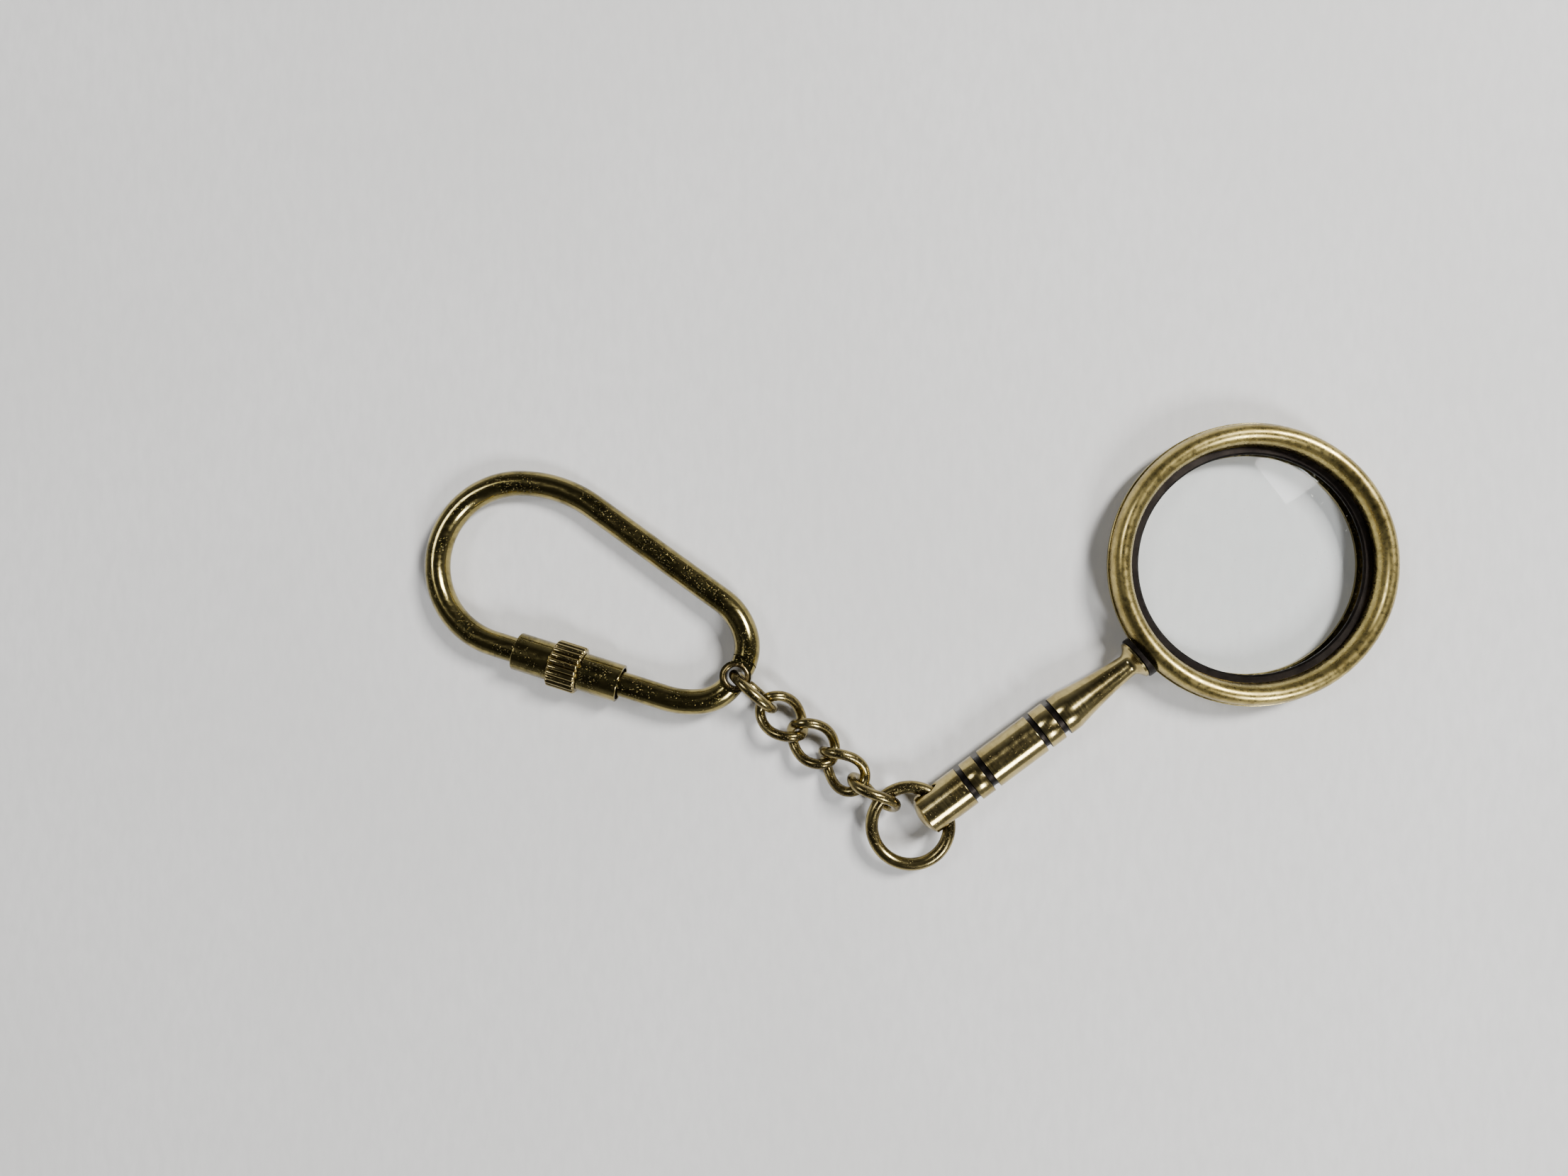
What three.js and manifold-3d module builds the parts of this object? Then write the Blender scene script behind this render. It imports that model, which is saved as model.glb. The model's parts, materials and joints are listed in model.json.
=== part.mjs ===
// Carabiner keyring: a screw-gate carabiner, a short curb chain, a jump ring and a pocket magnifier.
// Millimetres, +Z up. The whole object lies on the plane z = 0, centred on the origin.
import * as THREE from "three";
import { mergeVertices } from "three/addons/utils/BufferGeometryUtils.js";
import Module from "manifold-3d";

const wasm = await Module();
wasm.setup();

// ---- Driving dimensions -------------------------------------------------------------------------

const DEGREE = Math.PI / 180;
const FULL_TURN = 2 * Math.PI;
const RUNNING_GAP = 0.06; // radial play between pieces that turn in each other
const MERGE_DISTANCE = 1e-4;

// Carabiner wire: a closed loop walked from the hinge, turning left, and back to the hinge.
const ROD_RADIUS = 1.5;
const ROD_SIDES = 16;
const START_HEADING = 51.9; // degrees, at the hinge
const BEND_STEP = 10; // degrees of bend in one facet
const LONG_ARM_RUNS = [
  { radius: 5.24, turn: 55.8 },
  { radius: 7.36, turn: 39.8 },
  { length: 18.97 },
  { radius: 15.5, turn: 35.3 },
  { radius: 9.78, turn: 163.4 },
];
const GATE_STRAIGHT = 21.5; // the straight that the sleeve lies on
const GATE_ARM_BENDS = [
  { radius: 10.85, turn: 22.8 },
  { radius: 5.13, turn: 59.2 },
];
const CARABINER_PLACE = [-5.48, -10.36, 2.85]; // centre of the hinge eyelet
const CARABINER_HEADING = -3.3;
const CARABINER_TILT = -3.57; // it leans on its collar, so the far bend touches the table

// Half-lap hinge and its tubular eyelet.
const LAP_GAP = 0.1;
const TONGUE_RADIUS = 1.85;
const LONG_TONGUE_BOTTOM = -1.1;
const GATE_TONGUE_TOP = 0.95;
const LAP_REACH = 2.5; // the laps end on this circle around the eyelet
const LAP_STEP_RADIUS = 2.6;
const SPOT_FACE_RADIUS = 1.9;
const EYELET_OUTER_RADIUS = 1.4;
const EYELET_HOLE_RADIUS = 1.13;
const EYELET_FLARE_RADIUS = 1.6;
const EYELET_FLARE_HEIGHT = 0.1;
const EYELET_ROUND = 0.1; // rounding of its rolled rims

// Screw sleeve, measured along the gate straight from the end of the long arm.
const MOUTH_FROM_BEND = 3.05;
const NOSE_LENGTH = 1.36;
const NOSE_TIP_RADIUS = 0.05;
const NOSE_SHOULDER = 0.05; // the nose is this much thinner than the rod
const GATE_END_CLEARANCE = 0.12;
const SLEEVE_LENGTH = 13;
const BARREL_RADIUS = 2.25;
const COLLAR_START = 4.4;
const COLLAR_END = 8.2;
const COLLAR_SEAT_RADIUS = 1.95;
const COLLAR_RADIUS = 2.83;
const COLLAR_ROOT_RADIUS = 2.52;
const COLLAR_TEETH = 22;
const MOUTH_BORE_RADIUS = 1.6;
const TAIL_BORE_RADIUS = 1.92;
const TAIL_BORE_START = 9.6;

// Curb chain.
const LINK_WIRE_RADIUS = 0.65;
const LINK_HALF_LENGTH = 3.0;
const LINK_HALF_WIDTH = 2.2;
const LINK_TWIST = 45;
const LAST_LINK_TWIST = 20; // straightened when it was opened to take the jump ring
const LINK_SIDES = 8;
const LINK_STEPS = 24;
const LINK_FULLNESS = 0.06; // how far its shoulders stand outside an ellipse
const LINK_1_BACKSET = 0.3; // its end bow stands this far behind the eyelet's axis
const LINK_1_HEADING = -41;
// Where the other links lie: centre, then heading, rise and roll in degrees.
const LAID_LINKS = [
  { name: "chain_link_2", at: [0, -15.12, 2.57], heading: -39.5, rise: -3.5, roll: -18.5 },
  { name: "chain_link_3", at: [3.54, -18.07, 2.46], heading: -40, rise: -1, roll: 3 },
  { name: "chain_link_4", at: [6.94, -21.13, 2.62], heading: -41.5, rise: 6.5, roll: 30.5 },
  { name: "chain_link_5", at: [10.57, -23.87, 2.84], heading: -34, rise: -7.5, roll: -97.5 },
];

// Jump ring.
const RING_PLACE = [14.88, -27.68];
const RING_CENTRELINE_RADIUS = 4.5;
const RING_WIRE_RADIUS = 0.75;
const RING_SPLIT_WIDTH = 0.12;
const RING_SPLIT_AT = 105; // degrees round from the handle

// Magnifier handle, measured along its axis from the domed tip.
const HANDLE_PLACE = [15.99, -26.99];
const HANDLE_HEADING = 37.2;
const AXIS_HEIGHT = 2.5;
const HANDLE_RADIUS = 2.44;
const HANDLE_GROOVE_RADIUS = 1.95;
const DOME_LENGTH = 0.9;
const GROOVES = [
  [6.65, 7.4],
  [9.15, 9.95],
  [16.75, 17.42],
  [19.3, 20.06],
];
const GROOVE_SLANT = 0.06; // how far each groove wall leans
const TAPER_START = 21.45;
const TAPER_END = 29.8;
const TAPER_HOLLOW = 0.5; // how far the taper sags below a straight cone
const WAIST_RADIUS = 1.3;
const FLANGE_START = 30.8;
const FLANGE_END = 31.1;
const FLANGE_RADIUS = 2.28;
const CROSS_HOLE_FROM_TIP = 2.82;
const CROSS_HOLE_RADIUS = 1.22;
const COUNTERSINK_RADIUS = 1.5;
const COUNTERSINK_DEPTH = 0.3;
const BOSS_RADIUS = 2.5;
const STUD_RADIUS = 0.4;
const STUD_START = 28.6;
const STUD_END = 32.25;

// Lens frame, a lathe-turned stack around the lens axis; heights above the table.
const LENS_AXIS_FROM_TIP = 47.94;
const LENS_AXIS_OFFSET = 0.85; // the stem stands a little to one side of the frame's centre line
const FRAME_RADIUS = 16.22;
const FRAME_RIM_HEIGHT = 3.0;
const FRAME_FOOT_RADIUS = 14.3;
const FRAME_POCKET_RADIUS = 15.3;
const FRAME_POCKET_FLOOR = 2.2;
const OPENING_RADIUS = 12.65;
const LENS_RADIUS = 13.4;
const LENS_MIDDLE = 1.65;
const LENS_EDGE_THICKNESS = 0.8;
const LENS_SAGITTA = 1.1;
const SEAT_HEIGHT = 0.85;
const SIDE_PLAY = 0.1;
const CLAMP_BOTTOM = 2.3;
const CLAMP_TOP = 2.75;
const BEZEL_SKIRT_BOTTOM = 2.28;
const BEZEL_SHOULDER = 3.12;
const BEZEL_OUTER_RADIUS = 16.05;
const BEZEL_INNER_RADIUS = 13.65;
const BEZEL_CROWN_START = 3.4;
const BEZEL_TOP = 5.0;
const ROUND_SEGMENTS = 48;
const TURNED_SEGMENTS = 24;

// ---- Materials ----------------------------------------------------------------------------------

function brass(color, roughness) {
  return new THREE.MeshStandardMaterial({ color, roughness, metalness: 1 });
}

const polishedBrass = () => brass(0x8c7440, 0.22);
const satinBrass = () => brass(0xb39a5f, 0.42);
const chainBrass = () => brass(0x8f7d54, 0.38);
const blackenedBrass = () => brass(0x2c2628, 0.55);

function clearGlass() {
  return new THREE.MeshStandardMaterial({
    color: 0xe6ece8,
    roughness: 0.04,
    metalness: 0,
    transparent: true,
    opacity: 0.35,
  });
}

// ---- Solids: booleans on closed three.js geometry -----------------------------------------------

function solidOf(geometry) {
  const bare = geometry.clone();
  bare.deleteAttribute("normal");
  bare.deleteAttribute("uv");
  const merged = mergeVertices(bare, MERGE_DISTANCE);
  return new wasm.Manifold(
    new wasm.Mesh({
      numProp: 3,
      vertProperties: merged.attributes.position.array,
      triVerts: new Uint32Array(merged.index.array),
    }),
  );
}

function geometryOf(solid) {
  const mesh = solid.getMesh();
  const geometry = new THREE.BufferGeometry();
  geometry.setAttribute("position", new THREE.BufferAttribute(mesh.vertProperties, 3));
  geometry.setIndex(new THREE.BufferAttribute(mesh.triVerts, 1));
  const flatShaded = geometry.toNonIndexed();
  flatShaded.computeVertexNormals();
  return flatShaded;
}

// A round post along Z between two heights.
function post(radius, bottom, top, segments = 40) {
  const geometry = new THREE.CylinderGeometry(radius, radius, top - bottom, segments);
  geometry.rotateX(Math.PI / 2);
  geometry.translate(0, 0, (bottom + top) / 2);
  return geometry;
}

// A body of revolution around Z from [radius, height] pairs that climb on the outside.
function turnedAboutZ(profile, segments) {
  const points = profile.map(([radius, height]) => new THREE.Vector2(radius, height));
  const geometry = new THREE.LatheGeometry(points, segments);
  geometry.rotateX(Math.PI / 2);
  return geometry;
}

// A body of revolution around X from [radius, along] pairs.
function turnedAboutX(profile, segments) {
  const points = profile.map(([radius, along]) => new THREE.Vector2(radius, along));
  const geometry = new THREE.LatheGeometry(points, segments);
  geometry.rotateZ(-Math.PI / 2);
  return geometry;
}

// Points on an elliptical arc, as [radius, height] pairs.
function arcProfile(centre, semiAxes, fromDegrees, toDegrees, steps) {
  const points = [];
  for (let i = 0; i <= steps; i++) {
    const angle = (fromDegrees + ((toDegrees - fromDegrees) * i) / steps) * DEGREE;
    points.push([
      centre[0] + semiAxes[0] * Math.cos(angle),
      centre[1] + semiAxes[1] * Math.sin(angle),
    ]);
  }
  return points;
}

function circleShape(radius, sides) {
  const shape = new THREE.Shape();
  shape.moveTo(radius, 0);
  for (let i = 1; i < sides; i++) {
    const angle = (FULL_TURN * i) / sides;
    shape.lineTo(radius * Math.cos(angle), radius * Math.sin(angle));
  }
  shape.closePath();
  return shape;
}

// ---- Carabiner wire -----------------------------------------------------------------------------

// A path of straight runs and left-hand bends in the XY plane; long bends get more facets.
class BentWire extends THREE.Curve {
  constructor(start, headingDegrees, runs) {
    super();
    this.pieces = [];
    this.steps = 0;
    let [x, y] = start;
    let heading = headingDegrees * DEGREE;
    for (const run of runs) {
      const steps = run.turn ? Math.ceil(run.turn / BEND_STEP) : 1;
      this.pieces.push({ ...run, x, y, heading, steps, firstStep: this.steps });
      this.steps += steps;
      [x, y, heading] = BentWire.along(this.pieces.at(-1), 1);
    }
    this.end = [x, y];
    this.endHeading = heading;
  }

  // Position and heading after a share of one straight run or bend.
  static along(piece, share) {
    if (!piece.turn) {
      return [
        piece.x + piece.length * share * Math.cos(piece.heading),
        piece.y + piece.length * share * Math.sin(piece.heading),
        piece.heading,
      ];
    }
    const heading = piece.heading + piece.turn * share * DEGREE;
    return [
      piece.x + piece.radius * (Math.sin(heading) - Math.sin(piece.heading)),
      piece.y - piece.radius * (Math.cos(heading) - Math.cos(piece.heading)),
      heading,
    ];
  }

  // Facets follow the bends, so the curve's own parameter is used for its length too.
  getUtoTmapping(u) {
    return u;
  }

  getPoint(t, target = new THREE.Vector3()) {
    const step = Math.min(Math.max(t, 0), 1) * this.steps;
    const piece = this.pieces.findLast((candidate) => candidate.firstStep <= step);
    const share = Math.min((step - piece.firstStep) / piece.steps, 1);
    const [x, y] = BentWire.along(piece, share);
    return target.set(x, y, 0);
  }
}

function sweptRod(path) {
  return new THREE.ExtrudeGeometry(circleShape(ROD_RADIUS, ROD_SIDES), {
    steps: path.steps,
    extrudePath: path,
    bevelEnabled: false,
  });
}

const bowPath = new BentWire([0, 0], START_HEADING, LONG_ARM_RUNS);
const gateHeading = bowPath.endHeading / DEGREE;
const straightAxis = new THREE.Vector3(Math.cos(bowPath.endHeading), Math.sin(bowPath.endHeading), 0);

// A point on the sleeve's axis, at a distance from the end of the bow.
function onStraight(distance) {
  return [
    bowPath.end[0] + distance * straightAxis.x,
    bowPath.end[1] + distance * straightAxis.y,
  ];
}

// Turns a piece that lies along X, starting at the sleeve mouth, onto the gate straight.
function ontoStraight(geometry) {
  const [x, y] = onStraight(MOUTH_FROM_BEND);
  return geometry.rotateZ(bowPath.endHeading).translate(x, y, 0);
}

// The fixed arm: bow, centring nose at one end, lower half of the lap joint at the other.
function longArm() {
  const runs = [...LONG_ARM_RUNS, { length: MOUTH_FROM_BEND }];
  const rod = solidOf(sweptRod(new BentWire([0, 0], START_HEADING, runs)));
  const noseRadius = ROD_RADIUS - NOSE_SHOULDER;
  const nose = turnedAboutX(
    [
      [0, -MOUTH_FROM_BEND / 2],
      [noseRadius, -MOUTH_FROM_BEND / 2],
      [noseRadius, 0],
      [NOSE_TIP_RADIUS, NOSE_LENGTH],
      [0, NOSE_LENGTH],
    ],
    ROD_SIDES,
  );
  const lapTop = -LAP_GAP / 2;
  const lapCut = post(LAP_STEP_RADIUS, lapTop, 2 * ROD_RADIUS);
  const tongue = post(TONGUE_RADIUS, LONG_TONGUE_BOTTOM, lapTop);
  const underCut = post(LAP_STEP_RADIUS, -2 * ROD_RADIUS, LONG_TONGUE_BOTTOM);
  const hole = post(EYELET_OUTER_RADIUS + RUNNING_GAP, -2 * ROD_RADIUS, 2 * ROD_RADIUS);
  return geometryOf(
    rod
      .add(solidOf(ontoStraight(nose)))
      .subtract(solidOf(lapCut))
      .subtract(solidOf(underCut))
      .add(solidOf(tongue))
      .subtract(solidOf(hole)),
  );
}

// The gate: a straight inside the sleeve, two bends, and the upper half of the lap joint.
function gateArm() {
  const start = MOUTH_FROM_BEND + NOSE_LENGTH + GATE_END_CLEARANCE;
  const runs = [{ length: GATE_STRAIGHT - start }, ...GATE_ARM_BENDS];
  const rod = solidOf(sweptRod(new BentWire(onStraight(start), gateHeading, runs)));
  const lapBottom = LAP_GAP / 2;
  const lapCut = post(LAP_STEP_RADIUS, -2 * ROD_RADIUS, lapBottom);
  const spotFace = post(SPOT_FACE_RADIUS, GATE_TONGUE_TOP, 2 * ROD_RADIUS);
  const tongue = post(TONGUE_RADIUS, lapBottom, GATE_TONGUE_TOP);
  const hole = post(EYELET_OUTER_RADIUS + RUNNING_GAP, -2 * ROD_RADIUS, 2 * ROD_RADIUS);
  return geometryOf(
    rod
      .subtract(solidOf(lapCut))
      .subtract(solidOf(spotFace))
      .add(solidOf(tongue))
      .add(overlappingLap(lapBottom))
      .subtract(solidOf(hole)),
  );
}

// The gate's lap reaches past the eyelet and carries on the outline of the fixed arm.
function overlappingLap(lapBottom) {
  const firstBend = { radius: LONG_ARM_RUNS[0].radius, turn: 3 * BEND_STEP };
  const outline = solidOf(sweptRod(new BentWire([0, 0], START_HEADING, [firstBend])));
  return outline.intersect(solidOf(post(LAP_REACH, lapBottom, GATE_TONGUE_TOP)));
}

// A tube through the lap joint, its two rims rolled outwards over the tongues.
function hingeEyelet() {
  const top = GATE_TONGUE_TOP + RUNNING_GAP;
  const bottom = LONG_TONGUE_BOTTOM - RUNNING_GAP;
  const profile = [
    [EYELET_HOLE_RADIUS, bottom],
    [EYELET_HOLE_RADIUS + EYELET_ROUND, bottom - EYELET_FLARE_HEIGHT],
    [EYELET_FLARE_RADIUS - EYELET_ROUND, bottom - EYELET_FLARE_HEIGHT],
    [EYELET_FLARE_RADIUS, bottom],
    [EYELET_OUTER_RADIUS, bottom],
    [EYELET_OUTER_RADIUS, top],
    [EYELET_FLARE_RADIUS, top],
    [EYELET_FLARE_RADIUS - EYELET_ROUND, top + EYELET_FLARE_HEIGHT],
    [EYELET_HOLE_RADIUS + EYELET_ROUND, top + EYELET_FLARE_HEIGHT],
    [EYELET_HOLE_RADIUS, top],
    [EYELET_HOLE_RADIUS, bottom],
  ];
  return turnedAboutZ(profile, TURNED_SEGMENTS);
}

// The tube of the screw sleeve, with a waist that the toothed collar turns on.
function sleeveBarrel() {
  const chamfer = 0.15;
  const profile = [
    [MOUTH_BORE_RADIUS, 0],
    [BARREL_RADIUS - chamfer, 0],
    [BARREL_RADIUS, chamfer],
    [BARREL_RADIUS, COLLAR_START],
    [COLLAR_SEAT_RADIUS, COLLAR_START],
    [COLLAR_SEAT_RADIUS, COLLAR_END],
    [BARREL_RADIUS, COLLAR_END],
    [BARREL_RADIUS, SLEEVE_LENGTH - chamfer],
    [BARREL_RADIUS - chamfer, SLEEVE_LENGTH],
    [TAIL_BORE_RADIUS, SLEEVE_LENGTH],
    [TAIL_BORE_RADIUS, TAIL_BORE_START],
    [MOUTH_BORE_RADIUS, TAIL_BORE_START],
    [MOUTH_BORE_RADIUS, 0],
  ];
  return ontoStraight(turnedAboutX(profile, TURNED_SEGMENTS));
}

// The collar's outline: half-round teeth on a root circle.
function collarShape() {
  const pointsPerTooth = 4;
  const flankPower = 0.7; // below 1 makes the teeth fuller than a sine wave
  const shape = new THREE.Shape();
  for (let i = 0; i < COLLAR_TEETH * pointsPerTooth; i++) {
    const share = (i % pointsPerTooth) / pointsPerTooth;
    const rise = Math.sin(Math.PI * share) ** flankPower;
    const radius = COLLAR_ROOT_RADIUS + (COLLAR_RADIUS - COLLAR_ROOT_RADIUS) * rise;
    const angle = (FULL_TURN * i) / (COLLAR_TEETH * pointsPerTooth);
    const method = i === 0 ? "moveTo" : "lineTo";
    shape[method](radius * Math.cos(angle), radius * Math.sin(angle));
  }
  shape.closePath();
  return shape;
}

function knurledCollar() {
  const length = COLLAR_END - COLLAR_START - 2 * RUNNING_GAP;
  const toothRound = 0.22;
  const boreRadius = COLLAR_SEAT_RADIUS + RUNNING_GAP;
  const envelopeRadius = COLLAR_RADIUS + MERGE_DISTANCE;
  const teeth = new THREE.ExtrudeGeometry(collarShape(), { depth: length, bevelEnabled: false });
  teeth.rotateY(Math.PI / 2);
  const envelope = turnedAboutX(
    [
      [boreRadius, 0],
      [COLLAR_ROOT_RADIUS, 0],
      [envelopeRadius, toothRound],
      [envelopeRadius, length - toothRound],
      [COLLAR_ROOT_RADIUS, length],
      [boreRadius, length],
      [boreRadius, 0],
    ],
    TURNED_SEGMENTS,
  );
  const collar = geometryOf(solidOf(teeth).intersect(solidOf(envelope)));
  collar.translate(COLLAR_START + RUNNING_GAP, 0, 0);
  return ontoStraight(collar);
}

// ---- Chain --------------------------------------------------------------------------------------

// The centreline of an oval link along X; twist turns its two ends out of flat, opposite ways.
class LinkPath extends THREE.Curve {
  constructor(twistDegrees) {
    super();
    this.twist = twistDegrees * DEGREE;
  }

  getUtoTmapping(u) {
    return u;
  }

  // A rounded oval: fuller at its shoulders than an ellipse.
  getPoint(t, target = new THREE.Vector3()) {
    const angle = FULL_TURN * t;
    const x = LINK_HALF_LENGTH * Math.cos(angle);
    const y = LINK_HALF_WIDTH * Math.sin(angle) * (1 + LINK_FULLNESS * Math.cos(angle) ** 2);
    const twist = (-this.twist * x) / LINK_HALF_LENGTH;
    return target.set(x, y * Math.cos(twist), y * Math.sin(twist));
  }
}

function chainLink(twistDegrees) {
  return new THREE.TubeGeometry(
    new LinkPath(twistDegrees),
    LINK_STEPS,
    LINK_WIRE_RADIUS,
    LINK_SIDES,
    true,
  );
}

// ---- Jump ring ----------------------------------------------------------------------------------

// A ring of round wire, its two ends butted with a hairline split on the inner side.
function jumpRing() {
  const wire = new THREE.TorusGeometry(RING_CENTRELINE_RADIUS, RING_WIRE_RADIUS, 10, 32);
  const wireThickness = 2 * RING_WIRE_RADIUS;
  const split = new THREE.BoxGeometry(wireThickness, RING_SPLIT_WIDTH, 2 * wireThickness);
  split.translate(RING_CENTRELINE_RADIUS - RING_WIRE_RADIUS, 0, 0);
  split.rotateZ(RING_SPLIT_AT * DEGREE);
  return geometryOf(solidOf(wire).subtract(solidOf(split)));
}

// ---- Magnifier ----------------------------------------------------------------------------------

function handleProfile() {
  const domeRadius = (HANDLE_RADIUS ** 2 + DOME_LENGTH ** 2) / (2 * DOME_LENGTH);
  const domeAngle = Math.asin(HANDLE_RADIUS / domeRadius);
  const profile = [];
  const domeSteps = 3;
  for (let i = 0; i <= domeSteps; i++) {
    const angle = (domeAngle * i) / domeSteps;
    profile.push([domeRadius * Math.sin(angle), domeRadius * (1 - Math.cos(angle))]);
  }
  for (const [start, end] of GROOVES) {
    profile.push([HANDLE_RADIUS, start]);
    profile.push([HANDLE_GROOVE_RADIUS, start + GROOVE_SLANT]);
    profile.push([HANDLE_GROOVE_RADIUS, end - GROOVE_SLANT]);
    profile.push([HANDLE_RADIUS, end]);
  }
  const taperSteps = 5;
  for (let i = 0; i <= taperSteps; i++) {
    const share = i / taperSteps;
    const hollow = TAPER_HOLLOW * share * (1 - share);
    profile.push([
      HANDLE_RADIUS + (WAIST_RADIUS - HANDLE_RADIUS) * share - hollow,
      TAPER_START + (TAPER_END - TAPER_START) * share,
    ]);
  }
  const flareSteps = 3;
  for (let i = 1; i <= flareSteps; i++) {
    const share = i / flareSteps;
    profile.push([
      WAIST_RADIUS + (FLANGE_RADIUS - WAIST_RADIUS) * share ** 2,
      TAPER_END + (FLANGE_START - TAPER_END) * share,
    ]);
  }
  profile.push([FLANGE_RADIUS, FLANGE_END]);
  profile.push([0, FLANGE_END]);
  return profile;
}

// A hole across the handle along Y, opened out at both mouths.
function crossHole() {
  const mouth = HANDLE_RADIUS + COUNTERSINK_DEPTH;
  const profile = [
    [0, -mouth],
    [COUNTERSINK_RADIUS + COUNTERSINK_DEPTH, -mouth],
    [CROSS_HOLE_RADIUS, -HANDLE_RADIUS + COUNTERSINK_DEPTH],
    [CROSS_HOLE_RADIUS, HANDLE_RADIUS - COUNTERSINK_DEPTH],
    [COUNTERSINK_RADIUS + COUNTERSINK_DEPTH, mouth],
    [0, mouth],
  ];
  const points = profile.map(([radius, along]) => new THREE.Vector2(radius, along));
  return new THREE.LatheGeometry(points, TURNED_SEGMENTS).translate(CROSS_HOLE_FROM_TIP, 0, 0);
}

// A round rod along X, for the stud and for the holes that it sits in.
function rodAlongX(radius, start, end, segments = 12) {
  const rod = new THREE.CylinderGeometry(radius, radius, end - start, segments);
  rod.rotateZ(-Math.PI / 2);
  return rod.translate((start + end) / 2, 0, 0);
}

function handle() {
  const body = solidOf(turnedAboutX(handleProfile(), TURNED_SEGMENTS));
  const studHole = rodAlongX(STUD_RADIUS + RUNNING_GAP, STUD_START - RUNNING_GAP, STUD_END);
  return geometryOf(body.subtract(solidOf(crossHole())).subtract(solidOf(studHole)));
}

function handleStud() {
  return rodAlongX(STUD_RADIUS, STUD_START, STUD_END);
}

// The lens frame's axis, seen from the handle's own frame.
const lensAxis = [LENS_AXIS_FROM_TIP, LENS_AXIS_OFFSET];

function turnedAboutLensAxis(profile) {
  return turnedAboutZ(profile, ROUND_SEGMENTS).translate(...lensAxis, -AXIS_HEIGHT);
}

// The short black collar between handle and frame, hollowed to sit against the frame's wall.
function neckBoss() {
  const bossEnd = LENS_AXIS_FROM_TIP - FRAME_RADIUS + BOSS_RADIUS;
  const boss = rodAlongX(BOSS_RADIUS, FLANGE_END + RUNNING_GAP, bossEnd, TURNED_SEGMENTS);
  const reach = 2 * BOSS_RADIUS;
  const wall = post(FRAME_RADIUS + RUNNING_GAP, -reach, reach, ROUND_SEGMENTS);
  const frameWall = wall.translate(...lensAxis, 0);
  const studHole = rodAlongX(STUD_RADIUS + RUNNING_GAP, STUD_START, bossEnd);
  return geometryOf(solidOf(boss).subtract(solidOf(frameWall)).subtract(solidOf(studHole)));
}

// The cup that holds the lens from behind; its flat back lies on the table.
function lensFrame() {
  const rimInset = 0.1;
  const backChamfer = 0.4;
  const boreRadius = LENS_RADIUS + SIDE_PLAY;
  const profile = [
    [OPENING_RADIUS, SEAT_HEIGHT],
    [OPENING_RADIUS, backChamfer],
    [OPENING_RADIUS + backChamfer, 0],
    ...arcProfile(
      [FRAME_FOOT_RADIUS, FRAME_RIM_HEIGHT - rimInset],
      [FRAME_RADIUS - FRAME_FOOT_RADIUS, FRAME_RIM_HEIGHT - rimInset],
      -90,
      0,
      5,
    ),
    [FRAME_RADIUS - rimInset, FRAME_RIM_HEIGHT],
    [FRAME_POCKET_RADIUS, FRAME_RIM_HEIGHT],
    [FRAME_POCKET_RADIUS, FRAME_POCKET_FLOOR],
    [boreRadius, FRAME_POCKET_FLOOR],
    [boreRadius, SEAT_HEIGHT],
    [OPENING_RADIUS, SEAT_HEIGHT],
  ];
  const studHole = rodAlongX(STUD_RADIUS + RUNNING_GAP, STUD_START, STUD_END + RUNNING_GAP);
  return geometryOf(solidOf(turnedAboutLensAxis(profile)).subtract(solidOf(studHole)));
}

// The rounded brass band in front, its skirt let into the frame.
function frontBezel() {
  const middle = (BEZEL_OUTER_RADIUS + BEZEL_INNER_RADIUS) / 2;
  const halfWidth = (BEZEL_OUTER_RADIUS - BEZEL_INNER_RADIUS) / 2;
  const skirtRadius = FRAME_POCKET_RADIUS - RUNNING_GAP;
  return turnedAboutLensAxis([
    [BEZEL_INNER_RADIUS, BEZEL_SKIRT_BOTTOM],
    [skirtRadius, BEZEL_SKIRT_BOTTOM],
    [skirtRadius, BEZEL_SHOULDER],
    [BEZEL_OUTER_RADIUS, BEZEL_SHOULDER],
    ...arcProfile(
      [middle, BEZEL_CROWN_START],
      [halfWidth, BEZEL_TOP - BEZEL_CROWN_START],
      0,
      180,
      8,
    ),
    [BEZEL_INNER_RADIUS, BEZEL_SKIRT_BOTTOM],
  ]);
}

// The blackened ring inside the bezel that clamps the lens on its seat.
function retainingRing() {
  const outer = BEZEL_INNER_RADIUS - SIDE_PLAY;
  const chamfer = 0.2;
  return turnedAboutLensAxis([
    [OPENING_RADIUS, CLAMP_BOTTOM],
    [outer, CLAMP_BOTTOM],
    [outer, CLAMP_TOP],
    [OPENING_RADIUS + chamfer, CLAMP_TOP],
    [OPENING_RADIUS, CLAMP_TOP - chamfer],
    [OPENING_RADIUS, CLAMP_BOTTOM],
  ]);
}

// A biconvex lens with a ground edge.
function lens() {
  const curveRadius = (LENS_RADIUS ** 2 + LENS_SAGITTA ** 2) / (2 * LENS_SAGITTA);
  const edge = LENS_EDGE_THICKNESS / 2;
  const rings = 4;
  const sag = (radius) => curveRadius - Math.sqrt(curveRadius ** 2 - radius ** 2);
  const profile = [];
  for (let i = 0; i <= rings; i++) {
    const radius = (LENS_RADIUS * i) / rings;
    profile.push([radius, LENS_MIDDLE - edge - LENS_SAGITTA + sag(radius)]);
  }
  for (let i = rings; i >= 0; i--) {
    const radius = (LENS_RADIUS * i) / rings;
    profile.push([radius, LENS_MIDDLE + edge + LENS_SAGITTA - sag(radius)]);
  }
  return turnedAboutLensAxis(profile);
}

// ---- Assembly -----------------------------------------------------------------------------------

function named(name, geometry, material) {
  const mesh = new THREE.Mesh(geometry, material);
  mesh.name = name;
  return mesh;
}

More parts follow.
